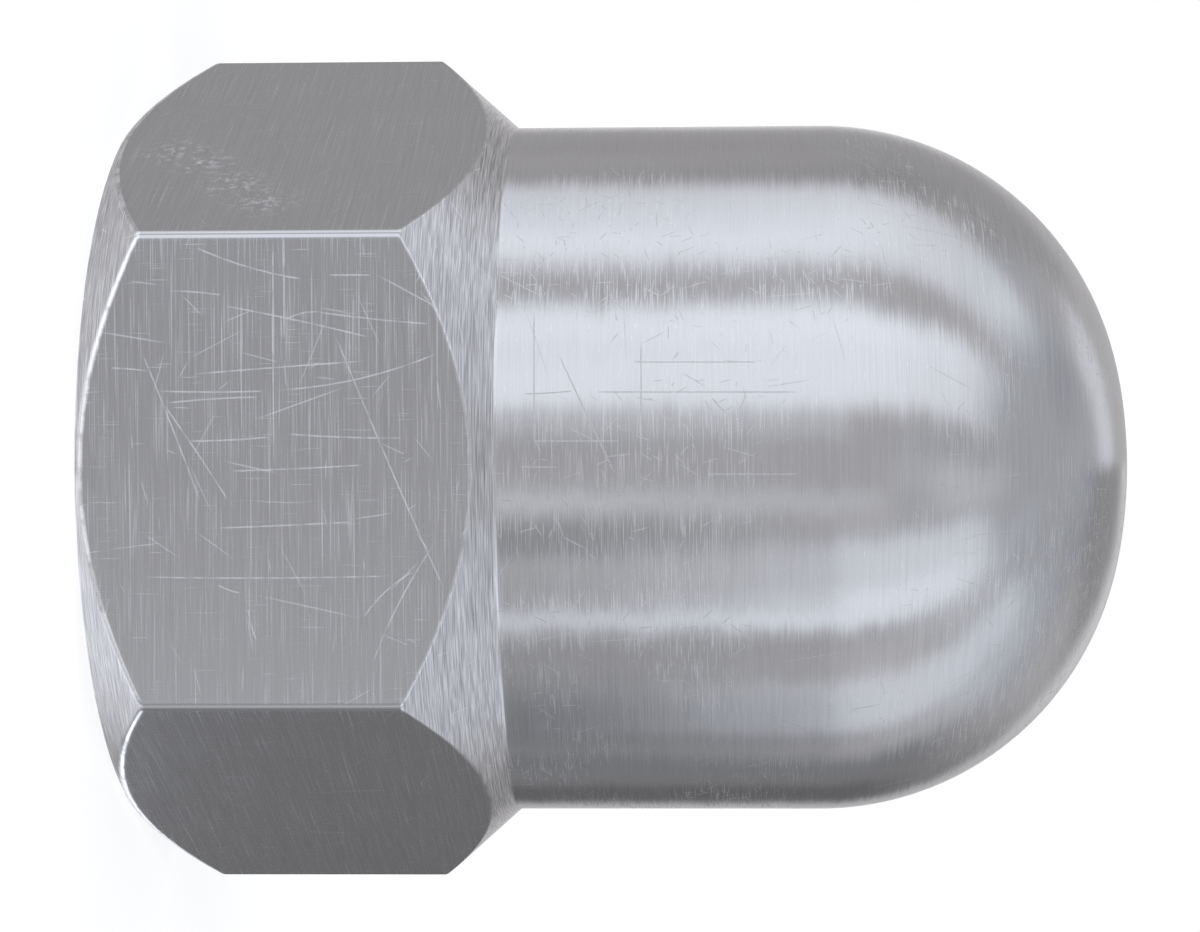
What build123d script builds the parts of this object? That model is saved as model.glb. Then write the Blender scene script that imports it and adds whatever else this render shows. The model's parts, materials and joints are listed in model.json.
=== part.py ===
from build123d import *
import math
import os

# Cap nut: a length of hexagon bar, turned down to a round body with a domed crown, then drilled and tapped blind.
# Millimetres, +Z up. The bearing face lies on z = 0 with its centre at the origin, and a flat faces -Y.

# The hexagon, with its long edges lightly rounded
across_flats = 19.05
corner_rounding = 0.25
corner_edge_top = 7.57

# The bearing face, turned a little inside the flats, and the cone that frees the corners below
bearing_step = 0.114
bearing_chamfer_angle = 44.0

# The shoulder cone, leaning in from the corners to the round body, and the fillet where they meet
shoulder_angle = 41.75
body_step = 0.445
neck_fillet = 0.3

# The dome: a shoulder arc whose centre stands off the axis, closed by a flatter crown arc
overall_height = 25.72
dome_arc_offset = 1.134
crown_half_angle = 13.23

# The tapped hole, at the thread's minor diameter: countersunk mouth, wall and the drill's point
thread_diameter = 12.7
thread_pitch = 1.954
thread_height_share = 0.5413
mouth_margin = 0.35
mouth_angle = 45.0
drill_half_angle = 59.0
crown_wall = 4.0

# Edges left by the tools are broken by this radius, and cuts run past the stock by this much
edge_break = 0.15
overrun = 1.0

# Radii and heights that follow from those
flat_radius = across_flats / 2
corner_radius = flat_radius / math.cos(math.pi / 6)
stock_radius = corner_radius + overrun
bearing_radius = flat_radius - bearing_step
body_radius = flat_radius - body_step
chamfer_slope = math.tan(math.radians(bearing_chamfer_angle))
shoulder_slope = 1 / math.tan(math.radians(shoulder_angle))
shoulder_top = corner_edge_top + (corner_radius - body_radius) * shoulder_slope
shoulder_arc_radius = body_radius - dome_arc_offset
crown_sine = math.sin(math.radians(crown_half_angle))
crown_cosine = math.cos(math.radians(crown_half_angle))
crown_radius = shoulder_arc_radius + dome_arc_offset / crown_sine
crown_centre = overall_height - crown_radius
dome_bottom = crown_centre + dome_arc_offset * crown_cosine / crown_sine
hole_radius = thread_diameter / 2 - thread_height_share * thread_pitch
mouth_radius = thread_diameter / 2 + mouth_margin
mouth_slope = 1 / math.tan(math.radians(mouth_angle))
mouth_depth = (mouth_radius - hole_radius) * mouth_slope
drill_tip = overall_height - crown_wall
drill_depth = drill_tip - hole_radius / math.tan(math.radians(drill_half_angle))


def outline_corner(face, radius, height):
    """The corner of an outline that lies at a radius and a height."""
    return face.vertices().sort_by_distance((0, radius, height))[0]


def turned_blank():
    """The shape that turning would leave on a round bar, wide enough for the hexagon."""
    below = Polyline(
        (0, 0, 0),
        (0, bearing_radius, 0),
        (0, stock_radius, (stock_radius - bearing_radius) * chamfer_slope),
        (0, stock_radius, corner_edge_top - (stock_radius - corner_radius) * shoulder_slope),
        (0, body_radius, shoulder_top),
        (0, body_radius, dome_bottom),
    )
    arcs_meet = (0, crown_radius * crown_sine, crown_centre + crown_radius * crown_cosine)
    shoulder_arc = TangentArc(below @ 1, arcs_meet, tangent=(0, 0, 1))
    crown_arc = TangentArc(arcs_meet, (0, 0, overall_height), tangent=shoulder_arc % 1)
    axis = Line(crown_arc @ 1, below @ 0)
    face = make_face(below + shoulder_arc + crown_arc + axis)
    face = fillet(outline_corner(face, bearing_radius, 0), edge_break)
    face = fillet(outline_corner(face, body_radius, shoulder_top), neck_fillet)
    return revolve(face, Axis.Z)


def hexagon_bar():
    """The bar stock: a hexagon with its long edges rounded."""
    section = RegularPolygon(flat_radius, 6, major_radius=False)
    section = fillet(section.vertices(), corner_rounding)
    return extrude(section, overall_height)


def tapped_hole():
    """What the drill and the countersink take out, from below the bearing face up to the drill's point."""
    outline = Polyline(
        (0, 0, -overrun),
        (0, mouth_radius + overrun / mouth_slope, -overrun),
        (0, hole_radius, mouth_depth),
        (0, hole_radius, drill_depth),
        (0, 0, drill_tip),
        close=True,
    )
    return revolve(make_face(outline), Axis.Z)


# The turned shape and the bar share the flats, whose curved edges are then broken
nut = turned_blank() & hexagon_bar()
curved_edges = nut.edges().filter_by(GeomType.HYPERBOLA) + nut.edges().filter_by(GeomType.BSPLINE)
nut = fillet(curved_edges, edge_break)
nut = nut - tapped_hole()

os.makedirs("parts", exist_ok=True)
export_step(nut, "parts/cap_nut.step")
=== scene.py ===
# %% [markdown]
# A cap nut in satin steel
# The nut is one piece of hexagon bar: a turned body with a domed end, over six flats, and a blind tapped
# hole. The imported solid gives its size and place. The solid's hole is plain, so the nut is drawn again here
# with its thread cut and its edges rounded, and that drawing stands for the solid.

# %% Load the solid that everything follows
import json
import math

import bmesh
import bpy
from mathutils import Matrix, Vector


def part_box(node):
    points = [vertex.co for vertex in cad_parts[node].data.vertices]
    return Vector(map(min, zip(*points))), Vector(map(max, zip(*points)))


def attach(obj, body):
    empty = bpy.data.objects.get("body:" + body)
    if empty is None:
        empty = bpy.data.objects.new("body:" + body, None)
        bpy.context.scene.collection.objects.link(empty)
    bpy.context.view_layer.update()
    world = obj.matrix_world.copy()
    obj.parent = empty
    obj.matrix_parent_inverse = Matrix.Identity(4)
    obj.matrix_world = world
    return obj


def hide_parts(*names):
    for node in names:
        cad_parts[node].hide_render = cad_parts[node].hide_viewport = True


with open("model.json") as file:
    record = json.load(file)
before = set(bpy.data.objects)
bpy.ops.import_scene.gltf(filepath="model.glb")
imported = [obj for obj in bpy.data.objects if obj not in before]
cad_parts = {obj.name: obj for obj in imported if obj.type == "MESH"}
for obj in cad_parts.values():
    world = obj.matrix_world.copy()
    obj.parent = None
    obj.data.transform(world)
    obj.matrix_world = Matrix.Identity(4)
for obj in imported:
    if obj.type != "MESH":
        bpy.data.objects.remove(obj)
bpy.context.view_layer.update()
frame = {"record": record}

scene = bpy.context.scene
scene.view_settings.view_transform = "Standard"
MM = 0.001

# %% [markdown]
# Sizes of the nut
# The box of the solid gives the width across the flats and the height. The mount in the record gives the
# hole. The other sizes are the nut's own: where its corners end, how its cones lean, and how round its
# edges are.

# %% Read the main sizes and name the rest
low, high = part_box("cap_nut")
thread_mount = next(m for m in frame["record"]["mounts"] if m["kind"] == "threaded_hole")

FLAT_RADIUS = (high.y - low.y) / 2
HEIGHT = high.z
HOLE_RADIUS = thread_mount["dims"]["r_mm"] * MM
HOLE_LENGTH = thread_mount["dims"]["length_mm"] * MM

CORNER_ROUNDING = 0.25 * MM
CORNER_EDGE_TOP = 7.57 * MM
EDGE_BREAK = 0.15 * MM
CHAMFER_BREAK = 0.27 * MM
BEARING_STEP = 0.114 * MM
BEARING_CHAMFER = math.radians(44.0)
SHOULDER_LEAN = math.radians(41.75)
BODY_STEP = 0.445 * MM
NECK_FILLET = 0.14 * MM
DOME_ARC_OFFSET = 1.134 * MM
CROWN_HALF_ANGLE = math.radians(13.23)

THREAD_RADIUS = 6.35 * MM
THREAD_PITCH = 1.954 * MM
THREAD_DEPTH = 15.0 * MM
MOUTH_MARGIN = 0.35 * MM
MOUTH_RADIUS = THREAD_RADIUS + MOUTH_MARGIN
DRILL_HALF_ANGLE = math.radians(59.0)

SIXTH = math.radians(60.0)
SHARP_CORNER = FLAT_RADIUS / math.cos(SIXTH / 2)
ROUNDED_CORNER = (FLAT_RADIUS - CORNER_ROUNDING) / math.cos(SIXTH / 2) + CORNER_ROUNDING
BODY_RADIUS = FLAT_RADIUS - BODY_STEP
print("flats", round(2 * FLAT_RADIUS / MM, 2), "corners", round(2 * ROUNDED_CORNER / MM, 2), "mm")

# %% [markdown]
# The outline
# A lathe makes a nut from one outline, drawn from the axis outwards. Here the outline changes as it goes
# round: it passes through the flats or through a corner. Both ends of that change are drawn with the same
# steps, and every point in between lies on a straight line from one to the other, because both cones are
# straight. A bevel after a boolean cut could round the edges, but it leaves slivers, and arcs in the
# outline leave none.

# %% Draw a polyline with rounded corners
ARC_STEPS = 6


def eased(steps):
    """Shares from 0 to 1 that crowd at both ends, so that flat stretches shade flat up to their edges."""
    return [(1 - math.cos(math.pi * i / steps)) / 2 for i in range(1, steps + 1)]


def rounded_line(corners):
    """Points along straight stretches, and the rows where the rounded corners peak.

    Each corner has a place, a rounding and a number of steps that lead to it.
    """
    points, peaks = [Vector(corners[0][0])], []
    for index, (place, rounding, steps) in enumerate(corners[1:], start=1):
        place, start = Vector(place), points[-1]
        arc = []
        if rounding:
            before = (Vector(corners[index - 1][0]) - place).normalized()
            after = (Vector(corners[index + 1][0]) - place).normalized()
            half = before.angle(after) / 2
            centre = place + (before + after).normalized() * rounding / math.sin(half)
            first = place + before * rounding / math.tan(half) - centre
            last = place + after * rounding / math.tan(half) - centre
            turn = first.angle_signed(last)
            arc = [centre + Matrix.Rotation(-turn * i / ARC_STEPS, 2) @ first for i in range(ARC_STEPS + 1)]
        end = arc[0] if arc else place
        points += [start.lerp(end, share) for share in eased(steps)]
        if arc:
            peaks.append(len(points) - 1 + ARC_STEPS // 2)
        points += arc[1:]
    return points, peaks


print("steps over a flat stretch", [round(share, 2) for share in eased(ARC_STEPS)])

# %% [markdown]
# The section
# On the real nut the section is what the bar and the lathe's tools leave: the bearing face, a chamfer, the
# hexagon's edge, a shoulder cone, the round body and the dome, and inside it the drilled hole. It could be
# a curve drawn by hand. Here each length comes from the sizes above, so a change of size moves every point
# that depends on it.

# %% Draw the whole section, from the drill's point round to the tip of the dome
DRILL_STEPS, WALL_STEPS = 6, 4
BEARING_STEPS, CHAMFER_STEPS, FLAT_STEPS = 8, 6, 16
SHOULDER_STEPS, BODY_STEPS = 8, 12
DOME_STEPS, CROWN_STEPS = 36, 8


def dome_points():
    """The dome: a shoulder arc about a centre off the axis, then a flatter arc that closes it."""
    shoulder_arc = BODY_RADIUS - DOME_ARC_OFFSET
    crown_arc = shoulder_arc + DOME_ARC_OFFSET / math.sin(CROWN_HALF_ANGLE)
    crown_centre = HEIGHT - crown_arc
    bottom = crown_centre + DOME_ARC_OFFSET / math.tan(CROWN_HALF_ANGLE)
    sweep = math.pi / 2 - CROWN_HALF_ANGLE
    points = []
    for i in range(DOME_STEPS + 1):
        lean = sweep * i / DOME_STEPS
        out, rise = shoulder_arc * math.cos(lean), shoulder_arc * math.sin(lean)
        points.append(Vector((DOME_ARC_OFFSET + out, bottom + rise)))
    for i in range(1, CROWN_STEPS + 1):
        lean = CROWN_HALF_ANGLE * (1 - i / CROWN_STEPS)
        points.append(Vector((crown_arc * math.sin(lean), crown_centre + crown_arc * math.cos(lean))))
    return points


def outside_points(hexagon_radius):
    """The section outside the hole, where the hexagon's edge lies at this radius."""
    bearing = FLAT_RADIUS - BEARING_STEP
    chamfer_top = (hexagon_radius - bearing) * math.tan(BEARING_CHAMFER)
    shoulder_foot = CORNER_EDGE_TOP + (SHARP_CORNER - hexagon_radius) / math.tan(SHOULDER_LEAN)
    shoulder_top = CORNER_EDGE_TOP + (SHARP_CORNER - BODY_RADIUS) / math.tan(SHOULDER_LEAN)
    dome = dome_points()
    below = rounded_line([
        ((MOUTH_RADIUS, 0), 0, 0),
        ((bearing, 0), EDGE_BREAK, BEARING_STEPS),
        ((hexagon_radius, chamfer_top), CHAMFER_BREAK, CHAMFER_STEPS),
        ((hexagon_radius, shoulder_foot), EDGE_BREAK, FLAT_STEPS),
        ((BODY_RADIUS, shoulder_top), NECK_FILLET, SHOULDER_STEPS),
        (dome[0], 0, BODY_STEPS),
    ])
    return below[0] + dome[1:], below[1]


def inside_points():
    """The end of the hole: the drill's point and the plain wall down to where the thread runs out."""
    wall_top = HOLE_LENGTH + (MOUTH_RADIUS - HOLE_RADIUS)
    tip = wall_top + HOLE_RADIUS / math.tan(DRILL_HALF_ANGLE)
    return rounded_line([
        ((0, tip), 0, 0),
        ((HOLE_RADIUS, wall_top), 0, DRILL_STEPS),
        ((HOLE_RADIUS, THREAD_DEPTH), 0, WALL_STEPS),
    ])


inside, _ = inside_points()
outside_flat, peaks = outside_points(FLAT_RADIUS)
outside_corner, _ = outside_points(ROUNDED_CORNER)
at_flat = inside + outside_flat
at_corner = inside + outside_corner
THREAD_GAP = len(inside) - 1
EDGE_ROWS = [len(inside) + peak for peak in peaks]
print("outline", len(at_flat), "points, thread after point", THREAD_GAP, "edges at", EDGE_ROWS)

# %% [markdown]
# What the outline carries
# Edges of a real nut are worn bright, most of all round the bearing face and its chamfer. A node tree can't
# read Python's lists, so each point of the outline carries its numbers as attributes: how far it moves at a
# corner, how far along the outline it lies, and how worn its edge is.

# %% Keep the outline as a mesh, with its points' numbers
BEARING_WEAR, CHAMFER_WEAR, SHOULDER_WEAR, NECK_WEAR = 1.0, 1.0, 0.3, 0.15
EDGE_WEAR = dict(zip(EDGE_ROWS, (BEARING_WEAR, CHAMFER_WEAR, SHOULDER_WEAR, NECK_WEAR)))

outline_mesh = bpy.data.meshes.new("nut_outline")
outline_mesh.from_pydata(
    [(p.x, 0, p.y) for p in at_flat],
    [(i, i + 1) for i in range(len(at_flat) - 1)],
    [],
)
outline_mesh.attributes.new("corner_shift", "FLOAT_VECTOR", "POINT")
outline_mesh.attributes.new("along", "FLOAT", "POINT")
outline_mesh.attributes.new("edge", "FLOAT", "POINT")
travelled = 0.0
for i, (flat_point, corner_point) in enumerate(zip(at_flat, at_corner)):
    if i:
        travelled += (flat_point - at_flat[i - 1]).length
    shift = corner_point - flat_point
    outline_mesh.attributes["corner_shift"].data[i].vector = (shift.x, 0, shift.y)
    outline_mesh.attributes["along"].data[i].value = travelled
    wear = [amount for row, amount in EDGE_WEAR.items() if abs(i - row) < ARC_STEPS // 2]
    outline_mesh.attributes["edge"].data[i].value = sum(wear)
nut = bpy.data.objects.new("cap_nut_turned", outline_mesh)
scene.collection.objects.link(nut)
print("outline length", round(travelled / MM, 1), "mm")

# %% [markdown]
# Arithmetic in node trees
# The nut's shape and its finish both come from node trees, and Geometry Nodes and shaders alike do sums
# with Math nodes. They could be added one by one, but that hides the formula. So this small class lets
# Python's own signs add the nodes: `a + b` makes one Math node and returns its output.

# %% A value in a node tree that can be added, multiplied and bent
def plug(entry, value):
    """Feeds a node's entry from another node, or sets it."""
    if isinstance(value, Field):
        value.tree.links.new(value.socket, entry)
    else:
        entry.default_value = value


class Field:
    """A value that flows through a node tree."""

    def __init__(self, socket):
        self.socket = socket
        self.tree = socket.id_data

    def maths(self, operation, *others):
        """One Math node, which takes this value first."""
        node = self.tree.nodes.new("ShaderNodeMath")
        node.operation = operation
        for entry, value in zip(node.inputs, (self, *others)):
            plug(entry, value)
        return Field(node.outputs[0])

    def __add__(self, other):
        return self.maths("ADD", other)

    def __sub__(self, other):
        return self.maths("SUBTRACT", other)

    def __mul__(self, other):
        return self.maths("MULTIPLY", other)

    def __truediv__(self, other):
        return self.maths("DIVIDE", other)

    def __neg__(self):
        return self.maths("MULTIPLY", -1.0)

    def clamped(self, least=0.0, most=1.0):
        """The value, held between two others."""
        return self.maths("MAXIMUM", least).maths("MINIMUM", most)


def node_in(tree, kind, settings=None, **entries):
    """A node of a kind, with its settings and entries by name. Spaces in names are underscores here."""
    node = tree.nodes.new(kind)
    for name, value in (settings or {}).items():
        setattr(node, name, value)
    for name, value in entries.items():
        plug(node.inputs[name.replace("_", " ")], value)
    return node


def new_tree(name, kind, takes, gives):
    """A node tree with named sockets. Returns it, its inputs as fields and its output node."""
    tree = bpy.data.node_groups.new(name, kind)
    for direction, sockets in (("INPUT", takes), ("OUTPUT", gives)):
        for label, socket in sockets.items():
            tree.interface.new_socket(label, in_out=direction, socket_type="NodeSocket" + socket)
    entry = tree.nodes.new("NodeGroupInput")
    fields = {label: Field(entry.outputs[label]) for label in takes}
    return tree, fields, tree.nodes.new("NodeGroupOutput")


def place_group(tree, group, **entries):
    """One use of a node group in another tree. Returns its outputs as fields, by name."""
    kind = "GeometryNodeGroup" if tree.bl_idname == "GeometryNodeTree" else "ShaderNodeGroup"
    node = node_in(tree, kind, {"node_tree": group}, **entries)
    return {out.name: Field(out) for out in node.outputs}


print("node helpers ready")

# %% [markdown]
# The columns round the nut
# The mesh is a grid: rows along the outline and columns round the axis. Columns could stand at even angles,
# but a rounded corner needs them closer together than a flat does. So a column's number is turned into an
# angle by a rule: eased steps over each flat, then even steps round each corner. The same rule serves the
# thread, so that its rings meet the outline's rings exactly.

# %% A node group from a column's number to its place round the hexagon
FIRST_FLAT = math.radians(90.0)

ring, take, give = new_tree(
    "ring_station",
    "GeometryNodeTree",
    {"Column": "Float", "Flat Radius": "Float", "Rounding": "Float",
     "Flat Columns": "Float", "Corner Columns": "Float"},
    {"Angle": "Float", "Corner Share": "Float", "Round": "Float", "On Corner": "Float"},
)
flat_radius, rounding = take["Flat Radius"], take["Rounding"]
side_columns = take["Flat Columns"] + take["Corner Columns"]
side = (take["Column"] / side_columns).maths("FLOOR")
step = take["Column"] - side * side_columns
flat_share = (step / take["Flat Columns"]).clamped()
corner_share = ((step - take["Flat Columns"]) / take["Corner Columns"]).clamped()
core = flat_radius - rounding
flat_reach = core * math.tan(SIXTH / 2)
flat_half_angle = (flat_reach / flat_radius).maths("ARCTANGENT")
eased_share = (flat_share * math.pi).maths("COSINE") * -1.0
flat_angle = flat_half_angle * eased_share
corner_angle = (flat_half_angle * -2.0 + SIXTH) * corner_share
angle = flat_angle + corner_angle
swing = angle - SIXTH / 2
hub = core / math.cos(SIXTH / 2)
beside = hub * swing.maths("SINE")
corner_edge = hub * swing.maths("COSINE") + (rounding * rounding - beside * beside).clamped().maths("SQRT")
flat_edge = flat_radius / flat_angle.maths("COSINE")
past_flat = corner_share.maths("GREATER_THAN", 0.0)
edge = flat_edge + (corner_edge - flat_edge) * past_flat
side_length = flat_radius * 2.0 * math.tan(SIXTH / 2)
walked = side * side_length + flat_radius * flat_angle.maths("TANGENT")
plug(give.inputs["Angle"], side * SIXTH + angle + FIRST_FLAT)
plug(give.inputs["Corner Share"], (edge - flat_radius) / (hub + rounding - flat_radius))
plug(give.inputs["Round"], walked + (side_length - flat_reach * 2.0) * corner_share)
plug(give.inputs["On Corner"], past_flat)
print("ring station", len(ring.nodes), "nodes")

# %% [markdown]
# The nut as a rule
# One tree makes the nut. It could be a solid of revolution with cuts, but then each edge would need its own
# bevel. Here the lathe half lays the outline round the hexagon, and the tap half lays a strip with the
# thread's section along a helix, whose turns meet edge to edge. Where the strip would pass the mouth or the
# end of the thread it is held there, so its ends close on plain rings, and merging near points makes one
# closed skin.

# %% Start the tree and its grid helper
SIDES = 6
THREAD_STEPS = 16
HALF = 0.5

RING_SIZES = {"Flat Radius": "Float", "Rounding": "Float", "Flat Columns": "Int", "Corner Columns": "Int"}
THREAD_SIZES = {"Thread Radius": "Float", "Hole Radius": "Float", "Mouth Radius": "Float", "Pitch": "Float",
                "Thread Depth": "Float", "Thread Gap": "Int"}
ZONE_ROWS = ("Chamfer Row", "Flat Row", "Shoulder Row", "Body Row")
ZONE_STEELS = ("Body Steel", "Cone Steel", "Flat Steel")
nut_tree, take, give = new_tree(
    "nut_rule",
    "GeometryNodeTree",
    {"Outline": "Geometry", **RING_SIZES, **THREAD_SIZES, **dict.fromkeys(ZONE_ROWS, "Int"),
     **dict.fromkeys(ZONE_STEELS, "Material")},
    {"Nut": "Geometry"},
)
columns = (take["Flat Columns"] + take["Corner Columns"]) * float(SIDES)


def unit_grid(across, up):
    """A grid with this many steps each way. Returns it with the step each point has across and up."""
    grid = node_in(nut_tree, "GeometryNodeMeshGrid", Size_X=1.0, Size_Y=1.0,
                   Vertices_X=across + 1.0, Vertices_Y=up + 1.0)
    here = Field(nut_tree.nodes.new("GeometryNodeInputPosition").outputs[0])
    place = node_in(nut_tree, "ShaderNodeSeparateXYZ", Vector=here)
    steps_across = (Field(place.outputs["X"]) + HALF) * across
    steps_up = (Field(place.outputs["Y"]) + HALF) * up
    return Field(grid.outputs["Mesh"]), steps_across, steps_up


def station(column):
    """Where a column stands round the nut."""
    return place_group(nut_tree, ring, Column=column,
                       Flat_Radius=take["Flat Radius"], Rounding=take["Rounding"],
                       Flat_Columns=take["Flat Columns"], Corner_Columns=take["Corner Columns"])


def stored(mesh, name, kind, domain, value):
    """A mesh with one more attribute."""
    node = node_in(nut_tree, "GeometryNodeStoreNamedAttribute", {"data_type": kind, "domain": domain},
                   Geometry=mesh, Name=name, Value=value)
    return Field(node.outputs[0])


def laid_round(mesh, radius, angle, height, round_place, along_place):
    """Moves a grid's points to a radius, an angle and a height. Keeps the unrolled places as a UV map."""
    unrolled = node_in(nut_tree, "ShaderNodeCombineXYZ", X=round_place, Y=along_place)
    mesh = stored(mesh, "unrolled", "FLOAT2", "CORNER", Field(unrolled.outputs[0]))
    x, y = radius * angle.maths("COSINE"), radius * angle.maths("SINE")
    place = node_in(nut_tree, "ShaderNodeCombineXYZ", X=x, Y=y, Z=height)
    moved = node_in(nut_tree, "GeometryNodeSetPosition", Geometry=mesh, Position=Field(place.outputs[0]))
    return Field(moved.outputs[0])


print("tree started with", len(nut_tree.interface.items_tree), "sockets")

# %% [markdown]
# The lathe half
# This is the outside of the nut and the end of its hole. A Screw modifier could spin the outline, but it
# makes a round bar. Here each point of a grid looks up its row in the outline, and moves out as the
# hexagon's corner comes round. The faces between the wall of the hole and its mouth are left out, because
# the thread goes there.

# %% The lathe half: the outline laid round the hexagon
outline_size = node_in(nut_tree, "GeometryNodeAttributeDomainSize", Geometry=take["Outline"])
rows = Field(outline_size.outputs["Point Count"]) - 1.0
lathe_grid, lathe_column, lathe_row = unit_grid(columns, rows)
row = lathe_row.maths("ROUND")


def outline_value(kind, field):
    """What the outline holds at this row."""
    node = node_in(nut_tree, "GeometryNodeSampleIndex", {"data_type": kind},
                   Geometry=take["Outline"], Value=field, Index=row)
    return Field(node.outputs[0])


def outline_attribute(kind, name):
    """One of the numbers that the outline carries, at this row."""
    node = node_in(nut_tree, "GeometryNodeInputNamedAttribute", {"data_type": kind}, Name=name)
    return outline_value(kind, Field(node.outputs[0]))


lathe_station = station(lathe_column.maths("ROUND"))
drawn = outline_value("FLOAT_VECTOR", Field(nut_tree.nodes.new("GeometryNodeInputPosition").outputs[0]))
drawn = node_in(nut_tree, "ShaderNodeSeparateXYZ", Vector=drawn)
shifted = outline_attribute("FLOAT_VECTOR", "corner_shift")
shifted = node_in(nut_tree, "ShaderNodeSeparateXYZ", Vector=shifted)
share = lathe_station["Corner Share"]
gap_row = take["Thread Gap"] + HALF
in_gap = (lathe_row - gap_row).maths("ABSOLUTE").maths("LESS_THAN", HALF / 2)
open_grid = node_in(nut_tree, "GeometryNodeDeleteGeometry", {"domain": "FACE"},
                    Geometry=lathe_grid, Selection=in_gap)
zone = lathe_row.maths("GREATER_THAN", take["Chamfer Row"])
for row_name in ZONE_ROWS[1:]:
    zone = zone + lathe_row.maths("GREATER_THAN", take[row_name])
marked = stored(Field(open_grid.outputs[0]), "zone", "INT", "FACE", zone)
marked = stored(marked, "edge", "FLOAT", "POINT", outline_attribute("FLOAT", "edge"))
marked = stored(marked, "corner", "FLOAT", "POINT", lathe_station["On Corner"])
lathe_half = laid_round(
    marked,
    Field(drawn.outputs["X"]) + Field(shifted.outputs["X"]) * share,
    lathe_station["Angle"],
    Field(drawn.outputs["Z"]) + Field(shifted.outputs["Z"]) * share,
    lathe_station["Round"],
    outline_attribute("FLOAT", "along"),
)
print("lathe half", len(nut_tree.nodes), "nodes")

# %% [markdown]
# The tap half
# A tap cuts the thread as a groove that climbs one pitch in each turn. A groove could be cut with a
# boolean, which is slow and leaves slivers where the turns meet. Here a long strip with the groove's
# section is wound up the hole. Its depth fades to nothing at the thread's end, as a tap's lead leaves it,
# and the mouth's countersink cuts it off.

# %% The tap half: a thread section wound up a helix
CREST_STEPS, FLANK_STEPS, ROOT_STEPS = 4.0, 5.0, 2.0

turns = (take["Thread Depth"] / take["Pitch"]).maths("CEIL") + 1.0
thread_steps = node_in(nut_tree, "FunctionNodeInputInt", {"integer": THREAD_STEPS})
tap_grid, tap_column, tap_row = unit_grid(columns * turns, Field(thread_steps.outputs[0]))
tap_column = tap_column.maths("ROUND")
lap = (tap_column / columns).maths("FLOOR")
tap_station = station(tap_column - lap * columns)
start = station(tap_column * 0.0)
wound = (tap_station["Angle"] - start["Angle"]) / (2 * math.pi) + lap
climbed = take["Pitch"] * (wound + tap_row / float(THREAD_STEPS) - 1.0)
height = climbed.clamped(0.0, take["Thread Depth"])
rising = ((tap_row - CREST_STEPS) / FLANK_STEPS).clamped()
falling = ((tap_row - CREST_STEPS - FLANK_STEPS - ROOT_STEPS) / FLANK_STEPS).clamped()
run_out = ((take["Thread Depth"] - height) / take["Pitch"]).clamped()
cut = (take["Thread Radius"] - take["Hole Radius"]) * (rising - falling) * run_out
tap_half = laid_round(
    tap_grid,
    (take["Hole Radius"] + cut).maths("MAXIMUM", take["Mouth Radius"] - height),
    tap_station["Angle"],
    height,
    tap_station["Round"],
    height - take["Thread Depth"],
)
print("both halves", len(nut_tree.nodes), "nodes")

# %% [markdown]
# One skin in three finishes
# The nut is one piece, so both halves become one closed skin, and points that lie within a hair of each
# other are merged. Painting faces by hand would be lost when a size changes, so the zone that each face
# keeps from its row says which steel it has: odd zones are the two cones, zone 2 is the flats, and the rest
# is the body, the bearing face and the hole.

# %% Join the halves into one skin and give it its steel
WELD = 0.002 * MM
FLAT_ZONE, ZONE_MATCH = 2.0, 0.1

joined = nut_tree.nodes.new("GeometryNodeJoinGeometry")
for half in (tap_half, lathe_half):
    nut_tree.links.new(half.socket, joined.inputs[0])
welded = node_in(nut_tree, "GeometryNodeMergeByDistance", Geometry=Field(joined.outputs[0]), Distance=WELD)
realised = node_in(nut_tree, "GeometryNodeRealizeInstances", Geometry=Field(welded.outputs[0]))
zone_here = node_in(nut_tree, "GeometryNodeInputNamedAttribute", {"data_type": "INT"}, Name="zone")
zone_here = Field(zone_here.outputs[0])
on_cone = zone_here.maths("MODULO", 2.0)
on_flats = zone_here.maths("COMPARE", FLAT_ZONE, ZONE_MATCH)
dressed = Field(realised.outputs[0])
for steel_name, chosen in zip(ZONE_STEELS, (True, on_cone, on_flats)):
    node = node_in(nut_tree, "GeometryNodeSetMaterial",
                   Geometry=dressed, Selection=chosen, Material=take[steel_name])
    dressed = Field(node.outputs[0])
plug(give.inputs["Nut"], dressed)
print("nut rule", len(nut_tree.nodes), "nodes")

# %% [markdown]
# From a rule to a plain mesh
# A modifier's sizes are set by the identifiers of its sockets, before the nut is first worked out. The
# modifier could stay, but the export needs a plain mesh, so the result is kept as one and the modifier is
# removed. Its faces are turned outwards, and edges sharper than a crease stay sharp, so the rounded ones
# shade smoothly.

# %% Set the rule's sizes and run it
FLAT_COLUMNS, CORNER_COLUMNS = 22, 6

steels = {name: bpy.data.materials.new(name.lower().replace(" ", "_")) for name in ZONE_STEELS}
for steel in steels.values():
    steel.use_nodes = True
rule = nut.modifiers.new("nut_rule", "NODES")
rule.node_group = nut_tree
nut_sizes = {
    "Flat Radius": FLAT_RADIUS, "Rounding": CORNER_ROUNDING,
    "Flat Columns": FLAT_COLUMNS, "Corner Columns": CORNER_COLUMNS,
    "Thread Radius": THREAD_RADIUS, "Hole Radius": HOLE_RADIUS, "Mouth Radius": MOUTH_RADIUS,
    "Pitch": THREAD_PITCH, "Thread Depth": THREAD_DEPTH, "Thread Gap": THREAD_GAP,
    **dict(zip(ZONE_ROWS, EDGE_ROWS)), **steels,
}
for item in nut_tree.interface.items_tree:
    if item.name in nut_sizes:
        rule[item.identifier] = nut_sizes[item.name]
print("sizes set", len(nut_sizes))

# %% Turn the rule's result into a plain mesh, facing outwards
CREASE = math.radians(28.0)

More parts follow.
